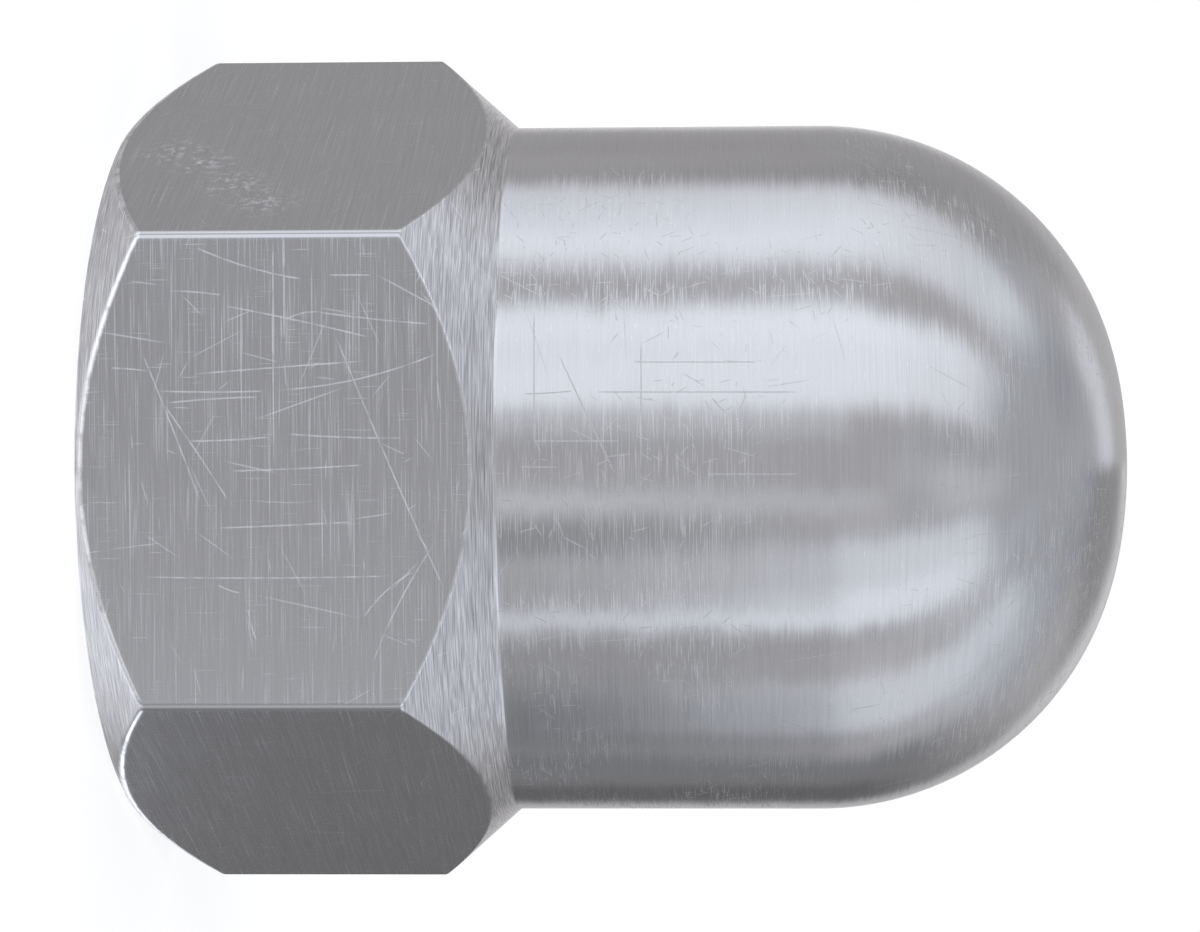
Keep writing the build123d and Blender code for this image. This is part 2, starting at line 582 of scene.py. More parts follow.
made = nut.evaluated_get(bpy.context.evaluated_depsgraph_get())
nut_mesh = bpy.data.meshes.new_from_object(made)
nut.modifiers.remove(rule)
nut.data = nut_mesh
bpy.data.meshes.remove(outline_mesh)
nut_mesh.name = "cap_nut_turned"
while None in list(nut_mesh.materials):
    nut_mesh.materials.pop(index=list(nut_mesh.materials).index(None))
nut_mesh.attributes.remove(nut_mesh.attributes["zone"])
skin = bmesh.new()
skin.from_mesh(nut_mesh)
bmesh.ops.recalc_face_normals(skin, faces=skin.faces)
open_edges = sum(not edge.is_manifold for edge in skin.edges)
volume = skin.calc_volume() / MM**3
print("nut", len(skin.faces), "faces,", open_edges, "open edges, volume", round(volume, 1), "mm3")
skin.to_mesh(nut_mesh)
skin.free()
nut_mesh.shade_smooth()
nut_mesh.set_sharp_from_angle(angle=CREASE)
print("steels", [steel.name for steel in nut_mesh.materials])
print("maps", [layer.name for layer in nut_mesh.uv_layers])

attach(nut, "root")
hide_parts("cap_nut")

# %% [markdown]
# The camera
# The picture was taken square on to one flat, almost level with the nut's axis, which lies across the
# frame. The nut stands on its bearing face here. It could be laid on its side, but a part stands as it
# rests, so the camera is rolled a quarter turn instead: its right side points up the axis. The lens is
# shifted a little, because the nut sits off the middle of the frame without leaning.

# %% Place the camera
IMAGE_WIDTH, IMAGE_HEIGHT = 1200, 932
SENSOR = 36.0
LENS = 72.662
SHIFT = Vector((-0.0328, 0.041))
CAMERA_PLACE = Vector((-0.167, -65.172, 14.608)) * MM
CAMERA_AIM = Vector((1.25, 0.0, 12.848)) * MM
CAMERA_RIGHT = Vector((0.00365, 0.02691, 0.99963))
NEAREST_SEEN = 1 * MM

lens = bpy.data.cameras.new("photo_camera")
lens.sensor_width = SENSOR
lens.lens = LENS
lens.shift_x, lens.shift_y = SHIFT
lens.clip_start = NEAREST_SEEN
camera = bpy.data.objects.new("photo_camera", lens)
back = (CAMERA_PLACE - CAMERA_AIM).normalized()
up = back.cross(CAMERA_RIGHT).normalized()
right = up.cross(back)
camera.matrix_world = Matrix.Translation(CAMERA_PLACE) @ Matrix((right, up, back)).transposed().to_4x4()
scene.collection.objects.link(camera)
scene.camera = camera
print("camera", round((CAMERA_PLACE - CAMERA_AIM).length / MM, 1), "mm from what it looks at")

# %% [markdown]
# From the picture to the nut
# Some marks on the nut are clear enough to be placed one by one. Their places are read off the picture in
# pixels. A pixel stands for a ray from the camera, and the mark lies where that ray meets the flat or the
# body, so no mark has to be pushed about by hand.

# %% Find where a pixel lies on the nut
FRONT_MIDDLE = (270, 470)


def pixel_ray(pixel):
    """The way from the camera through a pixel."""
    across = (pixel[0] - IMAGE_WIDTH / 2) / IMAGE_WIDTH + SHIFT.x
    upwards = (IMAGE_HEIGHT / 2 - pixel[1]) / IMAGE_WIDTH + SHIFT.y
    return (right * across + up * upwards) * SENSOR - back * LENS


def on_flat(pixel, turn=0.0):
    """Where a pixel's ray meets a flat, which is turned upwards by an angle from the one in front."""
    ray = pixel_ray(pixel)
    outward = Vector((-math.sin(turn), -math.cos(turn), 0.0))
    return CAMERA_PLACE + ray * ((FLAT_RADIUS - CAMERA_PLACE.dot(outward)) / ray.dot(outward))


def on_body(pixel):
    """Where a pixel's ray first meets the round body."""
    ray = pixel_ray(pixel)
    start, way = CAMERA_PLACE.xy, ray.xy
    nearest = -start.dot(way) / way.length_squared
    off_axis = (start + way * nearest).length
    half_chord = math.sqrt(BODY_RADIUS**2 - off_axis**2) / way.length
    return CAMERA_PLACE + ray * (nearest - half_chord)


print("middle of the front flat", [round(v / MM, 2) for v in on_flat(FRONT_MIDDLE)], "mm")

# %% [markdown]
# Satin steel
# The nut was turned and brushed, so fine lines run round it. A line is a shallow groove: it tilts the
# surface a little, so the edge of a reflection frays, and it is duller than the steel beside it. A picture
# of brushed steel could be wrapped round the nut, but noise that is squeezed along the axis needs no
# picture and has no seam.

# %% Sums of vectors in a node tree
def vector_maths(tree, operation, first, second=None):
    """One Vector Math node."""
    node = node_in(tree, "ShaderNodeVectorMath", {"operation": operation})
    plug(node.inputs[0], first)
    if second is not None:
        plug(node.inputs["Scale" if operation == "SCALE" else 1], second)
    return Field(node.outputs["Value" if operation in ("DOT_PRODUCT", "DISTANCE") else "Vector"])


def joined_axes(tree, x, y, z=0.0):
    """A vector from its parts."""
    return Field(node_in(tree, "ShaderNodeCombineXYZ", X=x, Y=y, Z=z).outputs[0])


def split_axes(tree, vector):
    """The three parts of a vector."""
    node = node_in(tree, "ShaderNodeSeparateXYZ", Vector=vector)
    return [Field(out) for out in node.outputs]


print("vector helpers ready")

# %% A node group for the brushed lines
OFF_AXIS = (1.0, 1.0, 0.0)
NOISE_MIDDLE = (0.5, 0.5, 0.5)
LINE_PARTS = ("Around", "Across", "Grain")

lines, take, give = new_tree(
    "brushed_lines",
    "ShaderNodeTree",
    {"Place": "Vector", "Along": "Float", "Length": "Float", "Spacing": "Float", "Detail": "Float"},
    dict.fromkeys(LINE_PARTS, "Float"),
)
outward = vector_maths(lines, "NORMALIZE", vector_maths(lines, "MULTIPLY", take["Place"], OFF_AXIS))
ringed = vector_maths(lines, "SCALE", outward, take["Length"].maths("POWER", -1.0) * BODY_RADIUS)
squeezed = vector_maths(lines, "ADD", ringed, joined_axes(lines, 0.0, 0.0, take["Along"] / take["Spacing"]))
noise = node_in(lines, "ShaderNodeTexNoise", Vector=squeezed, Scale=1.0, Detail=take["Detail"])
evened = vector_maths(lines, "SUBTRACT", Field(noise.outputs["Color"]), NOISE_MIDDLE)
for label, part in zip(LINE_PARTS, split_axes(lines, evened)):
    plug(give.inputs[label], part)
print("brushed lines", len(lines.nodes), "nodes")

# %% [markdown]
# Hair lines
# Wiping and handling leave hair lines on steel, which stand apart from each other. Each could be a curve of
# its own, but there are thousands of them. Noise that is stretched along the lines has crests of the same
# shape, so only its highest crests are kept. A higher limit leaves fewer lines.

# %% A node group for hair lines
HAIR_SOFTNESS = 0.14


def soft_step(tree, value, start, end):
    """Rises from 0 to 1 as a value goes from start to end, and falls where end is the smaller."""
    node = node_in(tree, "ShaderNodeMapRange", {"interpolation_type": "SMOOTHSTEP"}, Value=value)
    plug(node.inputs["From Min"], start)
    plug(node.inputs["From Max"], end)
    return Field(node.outputs[0])


hairs, take, give = new_tree(
    "hair_lines",
    "ShaderNodeTree",
    dict.fromkeys(("Lengthways", "Crossways", "Length", "Spacing", "Least"), "Float"),
    {"Mask": "Float"},
)
spot = joined_axes(hairs, take["Lengthways"] / take["Length"], take["Crossways"] / take["Spacing"])
noise = node_in(hairs, "ShaderNodeTexNoise", {"noise_dimensions": "2D"}, Vector=spot, Scale=1.0, Detail=1.0)
crests = soft_step(hairs, Field(noise.outputs[0]), take["Least"], take["Least"] + HAIR_SOFTNESS)
plug(give.inputs["Mask"], crests)
print("hair lines", len(hairs.nodes), "nodes")

# %% [markdown]
# Strewn scratches
# Nuts that lie loose in a box scratch each other in short straight lines. Particles could strew them as
# geometry, but a scratch has almost no depth. A Voronoi texture cuts the surface into cells, and gives each
# cell random numbers that stay the same in each run. One number turns the cell's scratch, one sets its
# length, and one says whether there is a scratch.

# %% A node group for scratches strewn at random, one in a cell
LEAST_REACH, MORE_REACH, FADE_START = 0.1, 0.45, 0.2

scatter, take, give = new_tree(
    "strewn_scratches",
    "ShaderNodeTree",
    dict.fromkeys(("Round", "Along", "Cell", "Width", "Lean", "Spread", "Share"), "Float"),
    {"Mask": "Float"},
)
spot = vector_maths(scatter, "DIVIDE", joined_axes(scatter, take["Round"], take["Along"]),
                    joined_axes(scatter, take["Cell"], take["Cell"], take["Cell"]))
cells = node_in(scatter, "ShaderNodeTexVoronoi", {"voronoi_dimensions": "2D"}, Vector=spot, Scale=1.0)
first, second, third = split_axes(scatter, Field(cells.outputs["Color"]))
off_middle = vector_maths(scatter, "SUBTRACT", spot, Field(cells.outputs["Position"]))
off_x, off_y, _ = split_axes(scatter, off_middle)
turn = (first - HALF) * take["Spread"] + take["Lean"]
ahead = off_x * turn.maths("COSINE") + off_y * turn.maths("SINE")
beside = off_y * turn.maths("COSINE") - off_x * turn.maths("SINE")
line = soft_step(scatter, beside.maths("ABSOLUTE"), take["Width"] / take["Cell"], 0.0)
reach = second * MORE_REACH + LEAST_REACH
ends = soft_step(scatter, ahead.maths("ABSOLUTE"), reach, second * FADE_START)
plug(give.inputs["Mask"], line * ends * third.maths("LESS_THAN", take["Share"]))
print("strewn scratches", len(scatter.nodes), "nodes")

# %% [markdown]
# One long scratch
# Some scratches are long enough to be seen one by one, and most of them are slightly bowed. A curve laid on
# the steel would stand proud of it. Here each point of the surface works out how far it has gone along the
# scratch and how far aside it lies. The mask is full close to the bowed line and tapers at both ends.

# %% A node group for one long scratch, bowed from its start to its end
STROKE_CORE = 0.3
STROKE_TAPER = 14.0

stroke, take, give = new_tree(
    "scratch",
    "ShaderNodeTree",
    {**dict.fromkeys(("Spot", "Start", "Ahead", "Aside"), "Vector"), "Bow": "Float", "Width": "Float"},
    {"Mask": "Float"},
)
from_start = vector_maths(stroke, "SUBTRACT", take["Spot"], take["Start"])
gone = vector_maths(stroke, "DOT_PRODUCT", from_start, take["Ahead"])
rise = gone - gone * gone
aside = vector_maths(stroke, "DOT_PRODUCT", from_start, take["Aside"]) - rise * take["Bow"]
line = soft_step(stroke, aside.maths("ABSOLUTE"), take["Width"], take["Width"] * STROKE_CORE)
plug(give.inputs["Mask"], line * (rise * STROKE_TAPER).clamped())
print("scratch", len(stroke.nodes), "nodes")

# %% [markdown]
# One steel, three finishes
# The flats were brushed straight and have the most wear. The cones above and below them keep the short
# marks of the turning tool. The body and dome were polished finer. So the three share the node groups with
# their own numbers. A scratch is rough steel: it scatters the room's light, so it shows light on dark steel
# and dark on bright steel.

# %% Start and finish a steel
STEEL_COLOUR = (0.62, 0.618, 0.625)
SCRATCH_ROUGHNESS = 0.6
QUARTER_TURN = 0.25
AXIS = (0.0, 0.0, 1.0)
NICK_SIZE = 0.4 * MM
NICK_RANGE = (0.3, 0.62)
FAINTEST_EDGE = 0.3


class Steel:
    """What the shader of one zone is made from."""

    def __init__(self, material):
        self.tree = material.node_tree
        self.shader = self.tree.nodes["Principled BSDF"]
        self.place = Field(self.tree.nodes.new("ShaderNodeTexCoord").outputs["Object"])
        unrolled = node_in(self.tree, "ShaderNodeUVMap", {"uv_map": "unrolled"})
        self.round, self.along, _ = split_axes(self.tree, Field(unrolled.outputs[0]))
        self.normal = Field(self.tree.nodes.new("ShaderNodeNewGeometry").outputs["Normal"])
        edge = node_in(self.tree, "ShaderNodeAttribute", {"attribute_name": "edge"})
        nicks = node_in(self.tree, "ShaderNodeTexNoise", Vector=self.place, Scale=1 / NICK_SIZE, Detail=2.0)
        self.uneven = soft_step(self.tree, Field(nicks.outputs[0]), *NICK_RANGE)
        self.edge = Field(edge.outputs["Fac"]) * (self.uneven + FAINTEST_EDGE)
        corner = node_in(self.tree, "ShaderNodeAttribute", {"attribute_name": "corner"})
        self.corner = Field(corner.outputs["Fac"])

    def brushed(self, length, spacing, detail=2.0):
        """Fine lines round the nut, about this long and this far apart."""
        return place_group(self.tree, lines, Place=self.place, Along=self.along,
                           Length=length, Spacing=spacing, Detail=detail)

    def hair(self, lengthways, crossways, length, spacing, least, weight=1.0):
        """Hair lines along one way, where the noise is above a least value."""
        mask = place_group(self.tree, hairs, Lengthways=lengthways, Crossways=crossways,
                           Length=length, Spacing=spacing, Least=least)["Mask"]
        return mask * weight

    def strewn(self, cell, width, lean, spread, share, weight=1.0):
        """Scratches in this share of the cells, which lean by an angle and spread about it, in degrees."""
        mask = place_group(self.tree, scatter, Round=self.round, Along=self.along, Cell=cell, Width=width,
                           Lean=math.radians(lean), Spread=math.radians(spread), Share=share)["Mask"]
        return mask * weight

    def tilt(self, around, across):
        """Leans the surface round the nut and along it."""
        sideways = vector_maths(self.tree, "CROSS_PRODUCT", self.normal, AXIS)
        round_way = vector_maths(self.tree, "NORMALIZE", sideways)
        cross_way = vector_maths(self.tree, "CROSS_PRODUCT", self.normal, round_way)
        leaning = self.normal
        for way, amount in ((round_way, around), (cross_way, across)):
            leaning = vector_maths(self.tree, "ADD", leaning, vector_maths(self.tree, "SCALE", way, amount))
        plug(self.shader.inputs["Normal"], vector_maths(self.tree, "NORMALIZE", leaning))

    def finish(self, brightness, roughness, scratches, grooved=0.0):
        """Sets the shader from a brightness and a roughness, with scratches over both.

        Grooves round the nut smear reflections along it, as far as this share says.
        """
        scratches = scratches.clamped()
        dull = roughness + (roughness * -1.0 + SCRATCH_ROUGHNESS) * scratches
        plug(self.shader.inputs["Roughness"], dull)
        plug(self.shader.inputs["Base Color"], vector_maths(self.tree, "SCALE", STEEL_COLOUR, brightness))
        self.shader.inputs["Metallic"].default_value = 1.0
        self.shader.inputs["Anisotropic"].default_value = grooved
        self.shader.inputs["Anisotropic Rotation"].default_value = QUARTER_TURN
        ring_way = node_in(self.tree, "ShaderNodeTangent", {"direction_type": "RADIAL", "axis": "Z"})
        plug(self.shader.inputs["Tangent"], Field(ring_way.outputs[0]))


print("steel", STEEL_COLOUR, "with scratches of roughness", SCRATCH_ROUGHNESS)

# %% [markdown]
# The flats
# The six flats were brushed straight across, and wrenches and other nuts have marked them most. So they
# have a fine grain, hair lines along the grain, short dashes across it, and scratches of three sizes. One
# drawing of a worn flat could serve all six, but the eye finds such repeats. Here the pattern runs on round
# the nut, so no two flats are alike.

# %% The grain, hair lines, dashes and strewn scratches of the flats
flats = Steel(steels["Flat Steel"])
x_place, _, flats.along = split_axes(flats.tree, flats.place)
with_grain, across_grain = (flats.round, flats.along), (flats.along, flats.round)
flat_lines = flats.brushed(length=2.5 * MM, spacing=0.03 * MM)
upright = flats.hair(*with_grain, length=2.2 * MM, spacing=0.03 * MM, least=0.60)
upright = upright + flats.hair(*with_grain, length=4.0 * MM, spacing=0.05 * MM, least=0.68, weight=1.5)
dashes = flats.hair(*across_grain, length=1.2 * MM, spacing=0.034 * MM, least=0.72, weight=1.2)
large = flats.strewn(cell=3.2 * MM, width=0.028 * MM, lean=90.0, spread=60.0, share=0.35)
medium = flats.strewn(cell=1.9 * MM, width=0.022 * MM, lean=0.0, spread=360.0, share=0.4, weight=0.7)
small = flats.strewn(cell=1.1 * MM, width=0.022 * MM, lean=40.0, spread=300.0, share=0.45, weight=0.9)
strewn = large + medium + small
print("flats", len(flats.tree.nodes), "nodes")

# %% [markdown]
# A scuff
# Something hard has rubbed the upper flat and left a strip of pale specks. It could be painted on by hand,
# but a painted strip would need an image. Here four round places along the strip, read off the picture, say
# where the steel is scuffed, and fine noise breaks them up into specks.

# %% The scuff on the upper flat
SCUFFS = ((178, 152), (204, 163), (236, 184), (262, 202))
SCUFF_SIZE = 1.3 * MM
SPECK_SIZE = 0.17 * MM
SPECK_RANGE = (0.44, 0.72)


def near_any(steel, places, reach):
    """A mask that is 1 at each of these places and falls to 0 at this distance from it."""
    nearest = None
    for place in places:
        away = vector_maths(steel.tree, "DISTANCE", steel.place, tuple(place))
        near = soft_step(steel.tree, away, reach, 0.0)
        nearest = near if nearest is None else nearest.maths("MAXIMUM", near)
    return nearest


specks = node_in(flats.tree, "ShaderNodeTexNoise", Vector=flats.place, Scale=1 / SPECK_SIZE, Detail=4.0)
specks = soft_step(flats.tree, Field(specks.outputs[0]), *SPECK_RANGE)
scuffed = near_any(flats, [on_flat(pixel, SIXTH) for pixel in SCUFFS], SCUFF_SIZE) * specks
print("scuffs", len(SCUFFS))

# %% [markdown]
# The long scratches
# The front flat has about two dozen clear scratches. Random ones would have the look but not the places. So
# each is read off the picture as three pixels, its start, a point near its middle and its end, and the ray
# through each pixel finds its place on the flat.

# %% The long scratches on the front flat: start, middle and end in pixels
LONG_SCRATCHES = (
    ((197, 248), (245, 266), (302, 279)),
    ((170, 291), (195, 292), (221, 295)),
    ((225, 306), (300, 321), (368, 337)),
    ((288, 318), (303, 313), (320, 312)),
    ((317, 312), (374, 319), (431, 324)),
    ((111, 368), (130, 369), (148, 371)),
    ((194, 374), (269, 368), (365, 361)),
    ((277, 390), (366, 377), (438, 353)),
    ((159, 391), (212, 392), (264, 391)),
    ((167, 403), (212, 399), (258, 397)),
    ((336, 337), (388, 462), (443, 587)),
    ((143, 355), (166, 412), (200, 501)),
    ((162, 402), (198, 454), (229, 502)),
    ((273, 240), (273, 354), (274, 468)),
    ((284, 235), (284, 287), (284, 339)),
    ((231, 471), (288, 469), (363, 465)),
    ((218, 528), (293, 525), (352, 522)),
    ((144, 577), (265, 578), (390, 576)),
    ((364, 617), (384, 593), (414, 571)),
    ((373, 662), (398, 605), (434, 544)),
    ((189, 441), (229, 440), (269, 437)),
    ((288, 434), (340, 437), (403, 438)),
    ((328, 275), (350, 275), (371, 275)),
    ((218, 585), (229, 590), (240, 593)),
    ((248, 609), (251, 625), (257, 641)),
)
LONG_WIDTH = 0.024 * MM
LONG_FAINTEST = 0.25


def scratched(steel, place_on, scratches, width):
    """A mask of bowed scratches on the side of the nut that the camera sees."""
    x, y, z = split_axes(steel.tree, steel.place)
    spot = joined_axes(steel.tree, z, -x)
    marks = None
    for pixels in scratches:
        start, middle, end = [Vector((point.z, -point.x)) for point in map(place_on, pixels)]
        chord = end - start
        aside = Vector((-chord.y, chord.x)).normalized()
        share = (middle - start).dot(chord) / chord.length_squared
        bow = (middle - start).dot(aside) / (share * (1 - share))
        ahead = chord / chord.length_squared
        mark = place_group(steel.tree, stroke, Spot=spot, Start=(*start, 0.0), Ahead=(*ahead, 0.0),
                           Aside=(*aside, 0.0), Bow=bow, Width=width)["Mask"]
        marks = mark if marks is None else marks.maths("MAXIMUM", mark)
    return marks * y.maths("LESS_THAN", 0.0)


long_marks = scratched(flats, on_flat, LONG_SCRATCHES, LONG_WIDTH)
long_marks = long_marks * (flats.uneven * (1 - LONG_FAINTEST) + LONG_FAINTEST)
print("long scratches", len(LONG_SCRATCHES))

# %% [markdown]
# The finish of the flats
# The front and back flats are worn most, and those beside them less. The corner edges between them are
# rubbed bright and smooth, so they carry no grain. Each flat could have a material of its own, but one is
# easier to change. It reads how far a point lies to either side of the nut's middle, and fades the wear
# there.

# %% Finish the flats
WORN_END, WORN_START = 5.8 * MM, 5.3 * MM
LEAST_WORN = 0.4
UPRIGHT_WEIGHT, DASH_WEIGHT, STREWN_WEIGHT, SCUFF_WEIGHT = 0.5, 0.62, 0.8, 0.85
FLAT_LEAN_AROUND, FLAT_LEAN_ACROSS = 0.03, 0.08
FLAT_BRIGHTNESS, FLAT_GRAIN = 0.85, 0.2
MARK_GAIN, FLAT_EDGE_GAIN, CORNER_GAIN = 0.3, 0.65, 0.15
FLAT_ROUGHNESS, FLAT_ROUGH_GRAIN, CORNER_POLISH = 0.24, 0.1, 0.06

worn = soft_step(flats.tree, x_place.maths("ABSOLUTE"), WORN_END, WORN_START) * (1 - LEAST_WORN) + LEAST_WORN
wear = upright * UPRIGHT_WEIGHT + dashes * DASH_WEIGHT + strewn * STREWN_WEIGHT
off_corner = flats.corner * -1.0 + 1.0
marks = (wear * worn + long_marks + scuffed * SCUFF_WEIGHT) * off_corner
grain = flat_lines["Grain"] * off_corner
flats.tilt(
    flat_lines["Around"] * FLAT_LEAN_AROUND * off_corner,
    flat_lines["Across"] * FLAT_LEAN_ACROSS * off_corner,
)
tone = grain * FLAT_GRAIN + FLAT_BRIGHTNESS + marks * MARK_GAIN
tone = tone + flats.edge * FLAT_EDGE_GAIN + flats.corner * CORNER_GAIN
flats.finish(tone, grain * FLAT_ROUGH_GRAIN + FLAT_ROUGHNESS - flats.corner * CORNER_POLISH, marks)
print("finished flats", len(flats.tree.nodes), "nodes")

# %% [markdown]
# The cones
# The cones below and above the flats were cut by a turning tool, which leaves fine short grooves that run
# round them. Grooves in the mesh would need millions of faces. The same node groups draw them here, shorter
# and rougher than on the flats and measured up the cone's slope. The grooves also smear what the cones
# mirror, along the nut.

# %% The turning marks and scratches of the cones
CONE_SLOPE = 1 / math.cos(SHOULDER_LEAN)

cones = Steel(steels["Cone Steel"])
cones.along = split_axes(cones.tree, cones.place)[2] * CONE_SLOPE
tool = cones.brushed(length=1.5 * MM, spacing=0.021 * MM, detail=1.0)
cuts = cones.hair(cones.round, cones.along, length=1.0 * MM, spacing=0.022 * MM, least=0.46)
cone_marks = cones.strewn(cell=1.4 * MM, width=0.026 * MM, lean=60.0, spread=140.0, share=0.4)
cone_marks = cone_marks + cones.strewn(cell=0.8 * MM, width=0.022 * MM, lean=90.0, spread=300.0, share=0.3)
print("cones", len(cones.tree.nodes), "nodes")

# %% Finish the cones
CONE_LEAN_AROUND, CONE_LEAN_ACROSS = 0.08, 0.22
CONE_BRIGHTNESS, CONE_GRAIN, CUT_GAIN = 0.93, 1.3, 0.4
CONE_EDGE_GAIN, CONE_MARK_GAIN = 0.3, 0.4
CONE_DARKEST, CONE_BRIGHTEST = 0.3, 1.55
CONE_ROUGHNESS, CONE_ROUGH_GRAIN = 0.32, 0.2
CONE_MARK_WEIGHT, CONE_GROOVED = 0.8, 0.9

cones.tilt(tool["Around"] * CONE_LEAN_AROUND, tool["Across"] * CONE_LEAN_ACROSS)
cone_tone = tool["Grain"] * CONE_GRAIN + cuts * CUT_GAIN + CONE_BRIGHTNESS
cone_tone = cone_tone + cones.edge * CONE_EDGE_GAIN + cone_marks * CONE_MARK_GAIN
cone_tone = cone_tone.clamped(CONE_DARKEST, CONE_BRIGHTEST)
cone_roughness = tool["Grain"] * CONE_ROUGH_GRAIN + CONE_ROUGHNESS
cones.finish(cone_tone, cone_roughness, cone_marks * CONE_MARK_WEIGHT, CONE_GROOVED)
print("finished cones", len(cones.tree.nodes), "nodes")

# %% [markdown]
# The marks on the body
# The body is bright, so its scratches show dark. The clear ones are read off the picture as on the front
# flat. The small ones lie in clusters, where the nut has rubbed on others. Small scratches all over would
# look like a texture, so a mask of scuffed places gathers them: slow noise makes most of it, and some
# places are read off the picture.

# %% The scratches on the body, and the middles of its scuffs
BODY_SCRATCHES = (
    ((558, 353), (586, 413), (615, 474)),
    ((594, 392), (697, 392), (800, 392)),
    ((631, 362), (695, 362), (760, 362)),
    ((712, 398), (719, 406), (728, 415)),
    ((524, 394), (548, 393), (572, 391)),
    ((533, 441), (576, 441), (620, 441)),
    ((520, 467), (539, 467), (558, 467)),
    ((707, 474), (753, 474), (800, 474)),
    ((641, 340), (641, 406), (641, 472)),
    ((534, 312), (534, 378), (534, 444)),
    ((594, 313), (598, 308), (604, 304)),
)
BODY_SCUFFS = (
    (520, 283), (630, 290), (772, 286), (700, 436), (545, 445),
    (620, 525), (535, 622), (560, 618), (640, 618),
)
BODY_SCUFF_SIZE = 1.5 * MM
CLUSTER_SIZE = 3.5 * MM
CLUSTER_RANGE = (0.40, 0.66)

body = Steel(steels["Body Steel"])
long_marks = scratched(body, on_body, BODY_SCRATCHES, LONG_WIDTH)
clusters = node_in(body.tree, "ShaderNodeTexNoise", Vector=body.place, Scale=1 / CLUSTER_SIZE, Detail=1.0)
clusters = soft_step(body.tree, Field(clusters.outputs[0]), *CLUSTER_RANGE)
clear_scuffs = near_any(body, [on_body(pixel) for pixel in BODY_SCUFFS], BODY_SCUFF_SIZE)
scuffed = clusters.maths("MAXIMUM", clear_scuffs)
print("body scratches", len(BODY_SCRATCHES), "scuffs", len(BODY_SCUFFS))

# %% [markdown]
# The finish of the body
# The body was polished as it turned, so its lines are shallow. They fray the edges of the bright bands that
# it mirrors, and a second, wider set of lines makes the bands waver. A smooth body with blurred reflections
# would look moulded. The dome's lines are coarser until close to its tip, so a mask that follows the height
# strengthens them there.

# %% The lines and scratches of the body
ring_ways = (body.round, body.along)
polish = body.brushed(length=2.2 * MM, spacing=0.03 * MM)
waver = body.brushed(length=3.0 * MM, spacing=0.6 * MM, detail=1.0)
hair = body.hair(*ring_ways, length=1.2 * MM, spacing=0.03 * MM, least=0.56)
flecks = body.hair(*ring_ways, length=0.35 * MM, spacing=0.032 * MM, least=0.72)
small = body.strewn(cell=0.9 * MM, width=0.024 * MM, lean=0.0, spread=360.0, share=0.85)
small = small + body.strewn(cell=0.5 * MM, width=0.022 * MM, lean=90.0, spread=300.0, share=0.7)
sparse = body.strewn(cell=2.6 * MM, width=0.024 * MM, lean=25.0, spread=160.0, share=0.4)
sparse = sparse + body.strewn(cell=2.4 * MM, width=0.024 * MM, lean=90.0, spread=30.0, share=0.3)
print("body", len(body.tree.nodes), "nodes")

# %% Gather the scratches, and find where the lines are coarser
SMALL_IN_SCUFFS, SMALL_ELSEWHERE = 0.9, 0.1
HAIR_IN_SCUFFS, HAIR_ELSEWHERE = 0.5, 0.06
SPARSE_WEIGHT = 0.7
DOME_FOOT, DOME_SIDE = 17.0 * MM, 21.5 * MM
TIP_EDGE, TIP_FOOT = 24.8 * MM, 23.2 * MM

body_marks = small * (scuffed * SMALL_IN_SCUFFS + SMALL_ELSEWHERE) + sparse * SPARSE_WEIGHT
body_marks = body_marks + long_marks + hair * (scuffed * HAIR_IN_SCUFFS + HAIR_ELSEWHERE)
height = split_axes(body.tree, body.place)[2]
domed = soft_step(body.tree, height, DOME_FOOT, DOME_SIDE) * soft_step(body.tree, height, TIP_EDGE, TIP_FOOT)
print("coarser lines from", round(DOME_FOOT / MM, 1), "to", round(TIP_EDGE / MM, 1), "mm up")

# %% Finish the body and dome
DOME_COARSER = 1.1
POLISH_LEAN_AROUND, POLISH_LEAN_ACROSS = 0.05, 0.035
WAVER_LEAN_AROUND, WAVER_LEAN_ACROSS = 0.04, 0.02
BODY_BRIGHTNESS, BODY_GRAIN, BODY_EDGE_GAIN = 1.0, 0.17, 0.3
HAIR_GAIN, FLECK_GAIN = 0.14, 0.2
BODY_ROUGHNESS, BODY_ROUGH_GRAIN, DOME_DULLER = 0.16, 0.12, 0.02
BODY_GROOVED = 0.35

coarse = domed * DOME_COARSER + 1.0
around = polish["Around"] * POLISH_LEAN_AROUND * coarse + waver["Around"] * WAVER_LEAN_AROUND
across = polish["Across"] * POLISH_LEAN_ACROSS * coarse + waver["Across"] * WAVER_LEAN_ACROSS
body.tilt(around, across)
body_tone = polish["Grain"] * BODY_GRAIN * coarse + BODY_BRIGHTNESS + body.edge * BODY_EDGE_GAIN
body_tone = body_tone + hair * (scuffed * HAIR_GAIN) + flecks * FLECK_GAIN
body_roughness = polish["Grain"] * BODY_ROUGH_GRAIN + BODY_ROUGHNESS + domed * DOME_DULLER
body.finish(body_tone, body_roughness, body_marks, BODY_GROOVED)
print("finished body", len(body.tree.nodes), "nodes")

# %% [markdown]
# The studio
# A bright metal has almost no colour of its own: it shows the room. The room here is grey, with two tall
# softboxes on each side of the nut and a white backdrop behind it. Lamps could light it, but their mirror
# images would be small and hard. So the room is painted on the world as soft windows of azimuth and
# elevation. The world isn't sampled as a lamp, because that makes the render slow and the windows are large
# enough to be found without it.

# %% A node group for one softbox
DIRECTION = ("Azimuth", "Elevation")
SOFTBOX_SIZES = ("Middle", "Half Width", "Side Edge", "Height", "Half Height", "End Edge")

softbox, take, give = new_tree(
    "softbox",
    "ShaderNodeTree",
    dict.fromkeys((*DIRECTION, *SOFTBOX_SIZES), "Float"),
    {"Light": "Float"},
)


def within(distance, half, edge):
    """1 inside half a size and 0 outside it, with an edge that fades over both sides of it."""
    return soft_step(softbox, distance.maths("ABSOLUTE"), half + edge, half - edge)


